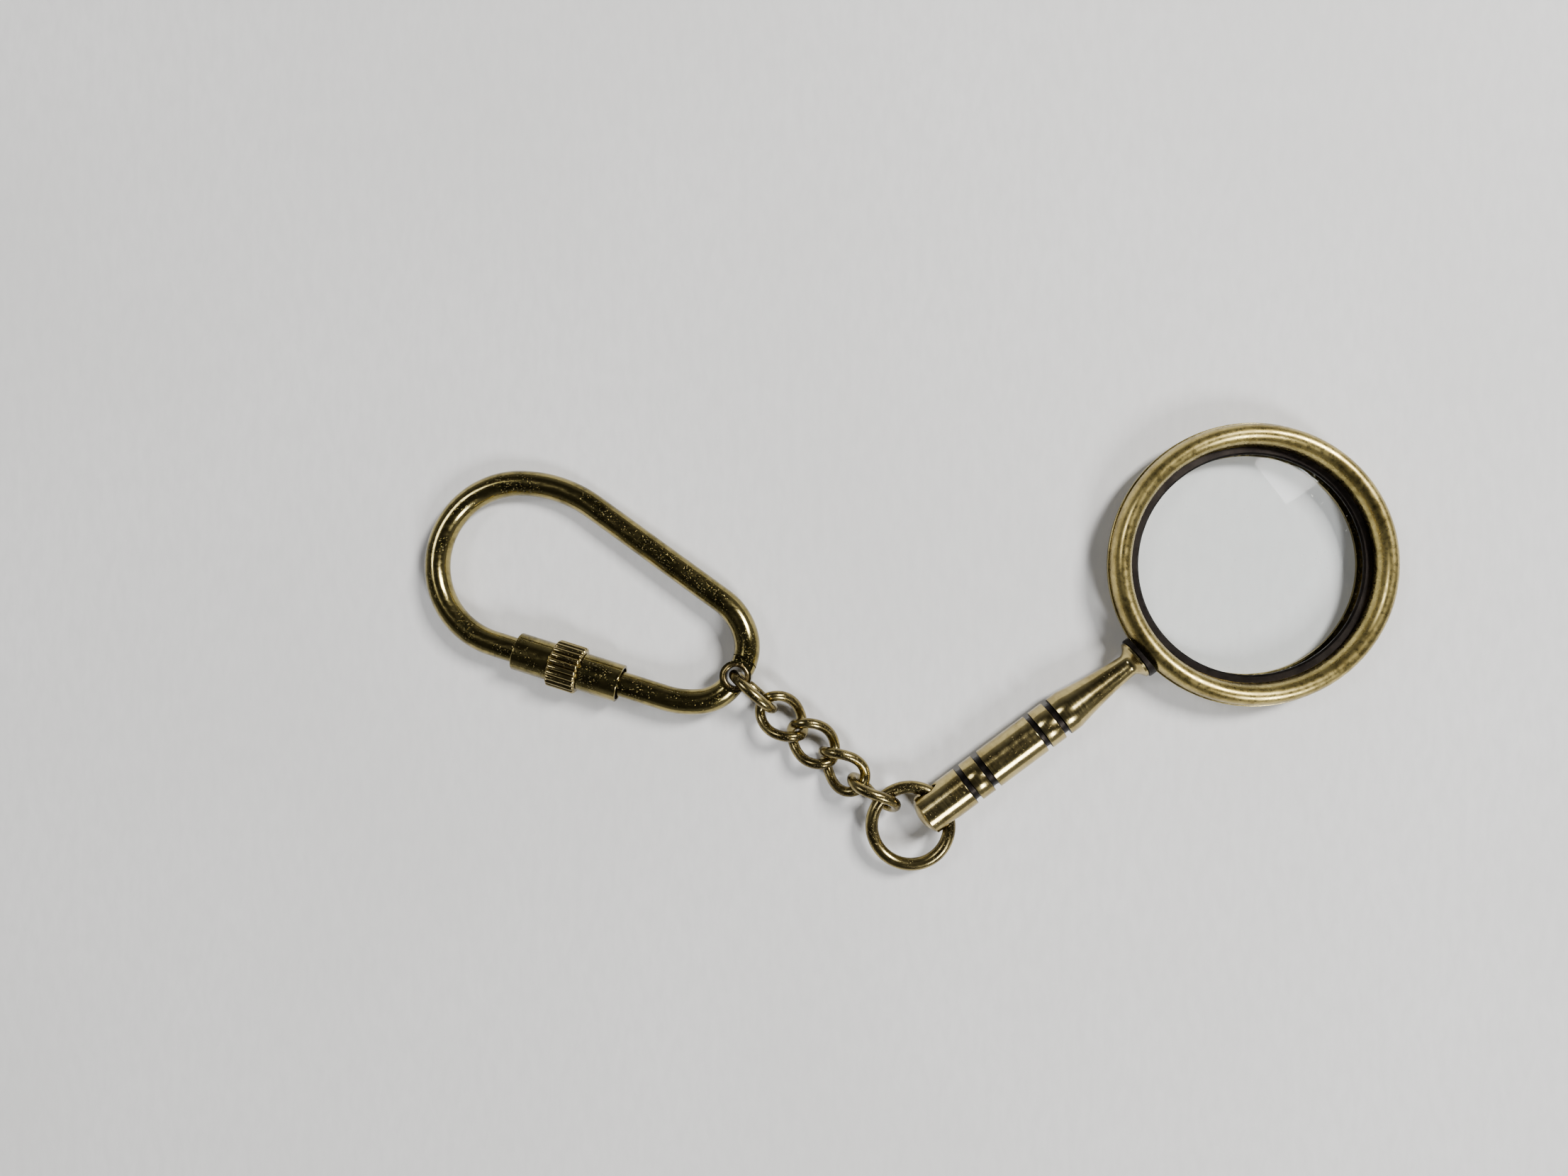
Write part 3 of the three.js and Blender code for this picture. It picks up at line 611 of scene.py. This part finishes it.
def handle_profile():
    dome_radius = (HANDLE_RADIUS**2 + DOME_LENGTH**2) / (2 * DOME_LENGTH)
    dome_angle = math.asin(HANDLE_RADIUS / dome_radius)
    profile = []
    for i in range(13):
        a = dome_angle * max(i, 0.02) / 12
        profile.append((dome_radius * math.sin(a), dome_radius * (1 - math.cos(a))))
    soft = GROOVE_EDGE
    for start, end in GROOVES:
        profile.append((HANDLE_RADIUS, start - soft))
        profile.append((HANDLE_RADIUS - 0.02, start - 0.01))
        profile.append((HANDLE_RADIUS - soft, start + 0.01))
        profile.append((GROOVE_RADIUS + soft, start + soft))
        profile.append((GROOVE_RADIUS, start + 0.11))
        profile.append((GROOVE_RADIUS, end - 0.11))
        profile.append((GROOVE_RADIUS + soft, end - soft))
        profile.append((HANDLE_RADIUS - soft, end - 0.01))
        profile.append((HANDLE_RADIUS - 0.02, end + 0.01))
        profile.append((HANDLE_RADIUS, end + soft))
    for i in range(25):
        share = i / 24
        hollow = TAPER_HOLLOW * share * (1 - share)
        radius = HANDLE_RADIUS + (WAIST_RADIUS - HANDLE_RADIUS) * share - hollow
        profile.append((radius, TAPER_START + (TAPER_END - TAPER_START) * share))
    for i in range(1, 9):
        share = i / 8
        radius = WAIST_RADIUS + (FLANGE_RADIUS - WAIST_RADIUS) * share**2
        profile.append((radius, TAPER_END + (FLANGE_START - TAPER_END) * share))
    profile.append((FLANGE_RADIUS, FLANGE_END - 0.03))
    profile.append((FLANGE_RADIUS - 0.03, FLANGE_END))
    return profile


def cross_hole():
    """A cutter for the handle's hole, widened at both mouths."""
    mouth = HANDLE_RADIUS + COUNTERSINK_DEPTH
    neck = HANDLE_RADIUS - COUNTERSINK_DEPTH
    profile = [
        (COUNTERSINK_RADIUS + COUNTERSINK_DEPTH, -mouth),
        (CROSS_HOLE_RADIUS + HOLE_EDGE, -neck - HOLE_EDGE),
        (CROSS_HOLE_RADIUS, -neck + HOLE_EDGE_INSET),
        (CROSS_HOLE_RADIUS, neck - HOLE_EDGE_INSET),
        (CROSS_HOLE_RADIUS + HOLE_EDGE, neck + HOLE_EDGE),
        (COUNTERSINK_RADIUS + COUNTERSINK_DEPTH, mouth),
    ]
    hole = turned_z("cutter", profile, 64)
    hole.data.transform(Matrix.Translation((CROSS_HOLE_FROM_TIP, 0, 0)) @ turn(-90, "X"))
    return hole


def stud_hole(end):
    return stud_rod(STUD_RADIUS + RUNNING_GAP, STUD_START - RUNNING_GAP, end)


def paint_groove_shade(body, material):
    """Gives the faces inside the handle's grooves a second, darker material: painted shade in the grooves.
    """
    body.data.materials.append(material)
    own = body.data.attributes["own_place"].data
    for face in body.data.polygons:
        corners = [own[v].vector / MM for v in face.vertices]
        along = sum(c.x for c in corners) / len(corners)
        deepest = min(math.hypot(c.y, c.z) for c in corners)
        inside = any(start - 0.02 < along < end + 0.02 for start, end in GROOVES)
        if inside and deepest < HANDLE_RADIUS - 0.03:
            face.material_index = 1


def handle(material, groove_shade_material):
    body = turned_x("handle", handle_profile(), HANDLE_SEGMENTS)
    combine(body, "DIFFERENCE", cross_hole())
    combine(body, "DIFFERENCE", stud_hole(STUD_END))
    finish_piece(body, "handle", "magnifier", magnifier_place(), material)
    paint_groove_shade(body, groove_shade_material)


def handle_stud(material):
    stud = stud_rod(STUD_RADIUS, STUD_START, STUD_END)
    finish_piece(stud, "handle_stud", "magnifier", magnifier_place(), material)


def neck_boss(material):
    end = LENS_AXIS[0] - FRAME_RADIUS + BOSS_RADIUS
    start = FLANGE_END + RUNNING_GAP
    edge = 0.05
    boss = turned_x("boss", [(BOSS_RADIUS - edge, start), (BOSS_RADIUS, start + edge), (BOSS_RADIUS, end)])
    wall = post(FRAME_RADIUS + RUNNING_GAP, -2 * BOSS_RADIUS, 2 * BOSS_RADIUS, ROUND_SEGMENTS)
    wall.data.transform(Matrix.Translation((*LENS_AXIS, 0)))
    combine(boss, "DIFFERENCE", wall)
    combine(boss, "DIFFERENCE", stud_hole(end))
    finish_piece(boss, "neck_boss", "magnifier", magnifier_place(), material)


def lens_frame(material):
    rim = FRAME_RIM_HEIGHT
    bore = LENS_RADIUS + SIDE_PLAY
    profile = [
        (OPENING_RADIUS, SEAT_HEIGHT),
        (OPENING_RADIUS, 0.4),
        (OPENING_RADIUS + 0.4, 0),
        *arc((FRAME_FOOT_RADIUS, rim - 0.1), (FRAME_RADIUS - FRAME_FOOT_RADIUS, rim - 0.1), -90, 0, 24),
        *arc((FRAME_RADIUS - 0.08, rim - 0.08), (0.08, 0.08), 20, 90, 4),
        (FRAME_POCKET_RADIUS, rim),
        (FRAME_POCKET_RADIUS, FRAME_POCKET_FLOOR),
        (bore, FRAME_POCKET_FLOOR),
        (bore, SEAT_HEIGHT),
        (OPENING_RADIUS, SEAT_HEIGHT),
    ]
    cup = turned_z("frame", profile)
    hole = stud_hole(STUD_END + RUNNING_GAP)
    hole.data.transform(Matrix.Translation((-LENS_AXIS[0], -LENS_AXIS[1], AXIS_HEIGHT)))
    combine(cup, "DIFFERENCE", hole)
    finish_piece(cup, "lens_frame", "magnifier", lens_place(), material)


def front_bezel(material):
    middle = (BEZEL_OUTER_RADIUS + BEZEL_INNER_RADIUS) / 2
    half_width = (BEZEL_OUTER_RADIUS - BEZEL_INNER_RADIUS) / 2
    skirt = FRAME_POCKET_RADIUS - RUNNING_GAP
    profile = [
        (BEZEL_INNER_RADIUS, BEZEL_SKIRT_BOTTOM),
        (skirt, BEZEL_SKIRT_BOTTOM),
        (skirt, BEZEL_SHOULDER),
        (BEZEL_OUTER_RADIUS - 0.06, BEZEL_SHOULDER),
        (BEZEL_OUTER_RADIUS, BEZEL_SHOULDER + 0.06),
        *arc((middle, BEZEL_CROWN_START), (half_width, BEZEL_TOP - BEZEL_CROWN_START), 0, 180, 40),
        (BEZEL_INNER_RADIUS, BEZEL_SKIRT_BOTTOM),
    ]
    bezel = turned_z("bezel", profile)
    finish_piece(bezel, "front_bezel", "magnifier", lens_place(), material)


def retaining_ring(material):
    outer = BEZEL_INNER_RADIUS - SIDE_PLAY
    profile = [
        (OPENING_RADIUS, CLAMP_BOTTOM),
        (outer, CLAMP_BOTTOM),
        (outer, CLAMP_TOP),
        (OPENING_RADIUS + 0.2, CLAMP_TOP),
        (OPENING_RADIUS, CLAMP_TOP - 0.2),
        (OPENING_RADIUS, CLAMP_BOTTOM),
    ]
    ring = turned_z("retainer", profile)
    finish_piece(ring, "retaining_ring", "magnifier", lens_place(), material)


def lens(material):
    curve = (LENS_RADIUS**2 + LENS_SAGITTA**2) / (2 * LENS_SAGITTA)
    radii = [LENS_RADIUS * max(i, 0.05) / 24 for i in range(25)]
    under = LENS_MIDDLE - LENS_EDGE / 2 - LENS_SAGITTA
    over = LENS_MIDDLE + LENS_EDGE / 2 + LENS_SAGITTA
    profile = [(r, under + curve - math.sqrt(curve**2 - r**2)) for r in radii]
    profile += [(r, over - curve + math.sqrt(curve**2 - r**2)) for r in reversed(radii)]
    glass = turned_z("glass", profile)
    finish_piece(glass, "lens", "magnifier", lens_place(), material)


# ---- Materials --------------------------------------------------------------------------------------


class Shader:
    """A material whose nodes are added one at a time; a socket given as a value is linked."""

    def __init__(self, name):
        self.material = bpy.data.materials.new(name)
        self.material.use_nodes = True
        self.tree = self.material.node_tree
        self.tree.nodes.clear()
        own = self.add("ShaderNodeAttribute", attribute_name="own_place")
        surface = self.add("ShaderNodeTexCoord")
        self.sources = {
            "own": own.outputs["Vector"],
            "UV": surface.outputs["UV"],
            "Object": surface.outputs["Object"],
        }

    def add(self, kind, inputs=None, **settings):
        node = self.tree.nodes.new(kind)
        for key, value in settings.items():
            setattr(node, key, value)
        for key, value in (inputs or {}).items():
            if isinstance(value, bpy.types.NodeSocket):
                self.tree.links.new(value, node.inputs[key])
            else:
                node.inputs[key].default_value = value
        return node

    def stretched(self, scale, source="own"):
        node = self.add("ShaderNodeMapping", {"Vector": self.sources[source], "Scale": scale})
        return node.outputs["Vector"]

    def noise(self, vector, scale, detail=4.0, roughness=0.55):
        settings = {"Vector": vector, "Scale": scale, "Detail": detail, "Roughness": roughness}
        return self.add("ShaderNodeTexNoise", settings).outputs["Fac"]

    def ramp(self, value, low, high, out_low=0.0, out_high=1.0):
        node = self.add(
            "ShaderNodeMapRange",
            {"Value": value, "From Min": low, "From Max": high, "To Min": out_low, "To Max": out_high},
        )
        return node.outputs["Result"]

    def math(self, operation, first, second=0.0):
        return self.add("ShaderNodeMath", {0: first, 1: second}, operation=operation).outputs[0]

    def mix(self, share, first, second):
        node = self.add("ShaderNodeMix", {0: share, 6: first, 7: second}, data_type="RGBA")
        return node.outputs[2]

    def bump(self, height, distance, strength=1.0, normal=None):
        inputs = {"Height": height, "Distance": distance, "Strength": strength}
        if normal is not None:
            inputs["Normal"] = normal
        return self.add("ShaderNodeBump", inputs).outputs["Normal"]

    def done(self, shader_output):
        self.add("ShaderNodeOutputMaterial", {"Surface": shader_output})
        return self.material


def rgb(red, green, blue):
    """A colour given as it looks on a screen, from 0 to 255."""
    linear = [((c / 255 + 0.055) / 1.055) ** 2.4 if c > 10 else c / 3294.6 for c in (red, green, blue)]
    return (*linear, 1.0)


BLOTCH_DEPTH = 0.000003
PIT_DEPTH = 0.00002


def brass(name, clean, tarnish, dirt, roughness, tarnished, pits, marks, mark_scale, mark_depth, grain=0.0):
    """Aged brass. tarnished is how far the patches go towards the tarnish colour. pits is how common the
    small dirty pits are; well below zero there are none. marks chooses the coordinates of the fine tool
    marks, mark_scale how they stretch and mark_depth how deep they are, in metres. grain is how
    anisotropic the reflections are."""
    s = Shader(name)
    place = s.sources["own"]
    patches = s.noise(place, 330, 6, 0.6)
    blotches = s.noise(place, 1700, 5, 0.6)
    specks = s.noise(place, 5200, 3, 0.6)
    lines = s.noise(s.stretched(mark_scale, marks), 1.0, 3, 0.65)
    age = s.ramp(patches, 0.42, 0.62, 0.0, tarnished)
    age = s.math("ADD", age, s.ramp(blotches, 0.5, 0.72, 0.0, 0.45 * tarnished))
    age = s.math("MINIMUM", age, 1.0)
    pitted = s.ramp(specks, 0.66 - pits, 0.72 - pits)
    pitted = s.math("MULTIPLY", pitted, s.ramp(patches, 0.46, 0.58))
    colour = s.mix(age, clean, tarnish)
    colour = s.mix(s.ramp(lines, 0.35, 0.75, 0.0, 0.35), colour, tarnish)
    colour = s.mix(pitted, colour, dirt)
    rough = s.ramp(blotches, 0.3, 0.75, roughness * 0.75, roughness * 1.35)
    rough = s.math("ADD", rough, s.ramp(lines, 0.4, 0.8, 0.0, 0.12))
    rough = s.math("ADD", rough, s.math("MULTIPLY", pitted, 0.35))
    dull = s.math("SUBTRACT", 1.0, s.math("MULTIPLY", pitted, 0.7))
    normal = s.bump(lines, mark_depth)
    normal = s.bump(blotches, BLOTCH_DEPTH, 0.6, normal)
    normal = s.bump(s.math("SUBTRACT", 1.0, pitted), PIT_DEPTH, 0.8, normal)
    surface = s.add(
        "ShaderNodeBsdfPrincipled",
        {"Base Color": colour, "Metallic": dull, "Roughness": rough, "Normal": normal},
    )
    if grain:
        along = s.add("ShaderNodeTangent", direction_type="UV_MAP", uv_map="surface")
        surface.inputs["Anisotropic"].default_value = grain
        s.tree.links.new(along.outputs["Tangent"], surface.inputs["Tangent"])
    return s.done(surface.outputs[0])


def polished_brass():
    return brass(
        "polished_brass", rgb(156, 142, 90), rgb(94, 85, 47), rgb(36, 30, 20), 0.12, 0.85, 0.05,
        "own", (900, 2600, 2600), 0.000003,
    )


def collar_brass():
    return brass(
        "collar_brass", rgb(168, 152, 102), rgb(108, 95, 56), rgb(40, 32, 22), 0.12, 0.6, 0.02,
        "own", (1500, 900, 900), 0.000002,
    )


# Much darker than the polished brass and drawn as heavy tarnish: painted shade for the deep shadow in and
# around the hinge tube.
def eyelet_brass_painted_shade():
    return brass(
        "eyelet_brass_painted_shade", rgb(128, 112, 72), rgb(66, 54, 34), rgb(30, 23, 18), 0.24, 1.0, 0.08,
        "own", (1500, 1500, 2600), 0.000006,
    )


def chain_brass():
    return brass(
        "chain_brass", rgb(158, 143, 94), rgb(88, 77, 46), rgb(38, 30, 21), 0.18, 0.9, 0.06,
        "UV", (0.8, 7, 1), 0.000006,
    )


def handle_brass():
    return brass(
        "handle_brass", rgb(190, 173, 118), rgb(130, 114, 68), rgb(48, 38, 26), 0.15, 0.7, 0.0,
        "own", (11000, 260, 260), 0.000003, 0.45,
    )


def frame_brass():
    return brass(
        "frame_brass", rgb(182, 166, 110), rgb(122, 107, 64), rgb(48, 38, 26), 0.2, 0.7, 0.0,
        "UV", (3, 0.05, 1), 0.000004, 0.5,
    )


def bezel_brass():
    return brass(
        "bezel_brass", rgb(182, 164, 103), rgb(116, 101, 56), rgb(72, 60, 38), 0.26, 0.7, -0.3,
        "UV", (1.4, 1.4, 1), 0.0000008, 0.3,
    )


# Dark oxidised brass for the neck boss and the retaining ring. The same material also paints the shade
# inside the handle's grooves.
def blackened_brass():
    return brass(
        "blackened_brass", rgb(40, 36, 33), rgb(24, 21, 20), rgb(14, 12, 11), 0.4, 0.7, 0.02,
        "UV", (0.6, 6, 1), 0.00001,
    )


def clear_glass():
    s = Shader("clear_glass")
    place = s.sources["own"]
    dust = s.ramp(s.noise(place, 2600, 2, 0.5), 0.735, 0.76)
    lint = s.ramp(s.noise(s.stretched((700, 5200, 2600)), 1.0, 2, 0.5), 0.77, 0.79)
    specks = s.math("MULTIPLY", s.math("MAXIMUM", dust, lint), 0.55)
    smear = s.ramp(s.noise(place, 180, 4, 0.6), 0.35, 0.7, 0.01, 0.05)
    clear = s.add("ShaderNodeBsdfTransparent", {"Color": rgb(253, 254, 254)})
    shine = s.add("ShaderNodeBsdfGlossy", {"Color": (1, 1, 1, 1), "Roughness": smear})
    grit = s.add("ShaderNodeBsdfDiffuse", {"Color": rgb(232, 230, 224)})
    pane = s.add("ShaderNodeMixShader", {0: 0.004, 1: clear.outputs[0], 2: shine.outputs[0]})
    dusty = s.add("ShaderNodeMixShader", {0: specks, 1: pane.outputs[0], 2: grit.outputs[0]})
    return s.done(dusty.outputs[0])


def paper():
    s = Shader("paper")
    place = s.sources["Object"]
    cloud = s.noise(place, 22, 4, 0.5)
    grain = s.noise(s.stretched((900, 320, 900), "Object"), 1.0, 4, 0.6)
    colour = s.mix(s.ramp(cloud, 0.3, 0.7), rgb(206, 205, 203), rgb(213, 212, 211))
    colour = s.mix(s.ramp(grain, 0.35, 0.65, 0.0, 0.5), colour, rgb(199, 198, 197))
    normal = s.bump(grain, 0.00003, 0.5)
    surface = s.add(
        "ShaderNodeBsdfPrincipled",
        {"Base Color": colour, "Roughness": 0.7, "Normal": normal, "Specular IOR Level": 0.25},
    )
    return s.done(surface.outputs[0])


# ---- Camera, light and floor ------------------------------------------------------------------------

# The camera's place is in the layout's millimetres; everything else here is in metres.
CAMERA_AT = Vector((7.236, 0, 133.604))
CAMERA_TILT = 3.1
CAMERA_FOCAL = 25.714
CAMERA_SENSOR = 36
KEY_LIGHT = {"at": (0.36, 0.25, 0.5), "size": (0.12, 0.2), "power": 7.4, "colour": (1.0, 0.99, 0.97)}
SECOND_LIGHT = {"at": (0.31, -0.42, 0.48), "size": (0.12, 0.2), "power": 4.2, "colour": (0.98, 0.99, 1.0)}
BACK_LIGHT = {"at": (-0.4, 0.2, 0.6), "size": (0.2, 0.2), "power": 1.6, "colour": (1.0, 1.0, 1.0)}
SKY_FADE_END = 0.6
SKY_AT_HORIZON = 0.34
SKY_OVERHEAD = 0.035
FLOOR_HALF = 0.6
FLOOR_GAP = 0.00002


def camera():
    data = bpy.data.cameras.new("camera")
    data.sensor_width = CAMERA_SENSOR
    data.lens = CAMERA_FOCAL
    data.clip_start = 0.005
    data.clip_end = 5
    made = bpy.data.objects.new("camera", data)
    bpy.context.scene.collection.objects.link(made)
    at = (CAMERA_AT + Vector((LAYOUT_SHIFT.x, LAYOUT_SHIFT.y, 0))) * MM
    made.matrix_world = Matrix.Translation(at) @ turn(CAMERA_TILT, "Y")
    bpy.context.scene.camera = made


def area_light(name, at, size, power, colour):
    data = bpy.data.lights.new(name, "AREA")
    data.shape = "RECTANGLE"
    data.size, data.size_y = size
    data.energy = power
    data.color = colour
    made = bpy.data.objects.new(name, data)
    bpy.context.scene.collection.objects.link(made)
    made.location = at
    made.rotation_euler = (-Vector(at)).to_track_quat("-Z", "Y").to_euler()


def lights():
    area_light("key", **KEY_LIGHT)
    area_light("second", **SECOND_LIGHT)
    area_light("back", **BACK_LIGHT)


def sky():
    """A dim room: dark overhead, paler towards the horizon."""
    world = bpy.data.worlds.new("room")
    world.use_nodes = True
    bpy.context.scene.world = world
    tree = world.node_tree
    tree.nodes.clear()
    where = tree.nodes.new("ShaderNodeTexCoord")
    split = tree.nodes.new("ShaderNodeSeparateXYZ")
    fade = tree.nodes.new("ShaderNodeMapRange")
    fade.inputs["From Min"].default_value = 0.0
    fade.inputs["From Max"].default_value = SKY_FADE_END
    fade.inputs["To Min"].default_value = SKY_AT_HORIZON
    fade.inputs["To Max"].default_value = SKY_OVERHEAD
    glow = tree.nodes.new("ShaderNodeBackground")
    glow.inputs["Color"].default_value = (0.96, 0.97, 1.0, 1.0)
    out = tree.nodes.new("ShaderNodeOutputWorld")
    tree.links.new(where.outputs["Generated"], split.inputs[0])
    tree.links.new(split.outputs["Z"], fade.inputs["Value"])
    tree.links.new(fade.outputs["Result"], glow.inputs["Strength"])
    tree.links.new(glow.outputs[0], out.inputs["Surface"])


def floor():
    half = FLOOR_HALF
    mesh = bpy.data.meshes.new("floor")
    corners = [(-half, -half, 0), (half, -half, 0), (half, half, 0), (-half, half, 0)]
    mesh.from_pydata(corners, [], [(0, 1, 2, 3)])
    made = bpy.data.objects.new("floor", mesh)
    bpy.context.scene.collection.objects.link(made)
    made.location = (0, 0, cad_bounds[0][2] - FLOOR_GAP)
    mesh.materials.append(paper())


# ---- The whole keyring ------------------------------------------------------------------------------

camera()
lights()
sky()
floor()

polished = polished_brass()
long_arm(polished)
gate_arm(polished)
hinge_eyelet(eyelet_brass_painted_shade())
sleeve_barrel(polished)
knurled_collar(collar_brass())
links = chain_brass()
chain(links)
jump_ring(links)
# Dark brass for the neck boss and the retaining ring, and painted shade in the handle's grooves.
blackened_and_groove_shade = blackened_brass()
handle(handle_brass(), blackened_and_groove_shade)
handle_stud(links)
neck_boss(blackened_and_groove_shade)
lens_frame(frame_brass())
front_bezel(bezel_brass())
retaining_ring(blackened_and_groove_shade)
lens(clear_glass())
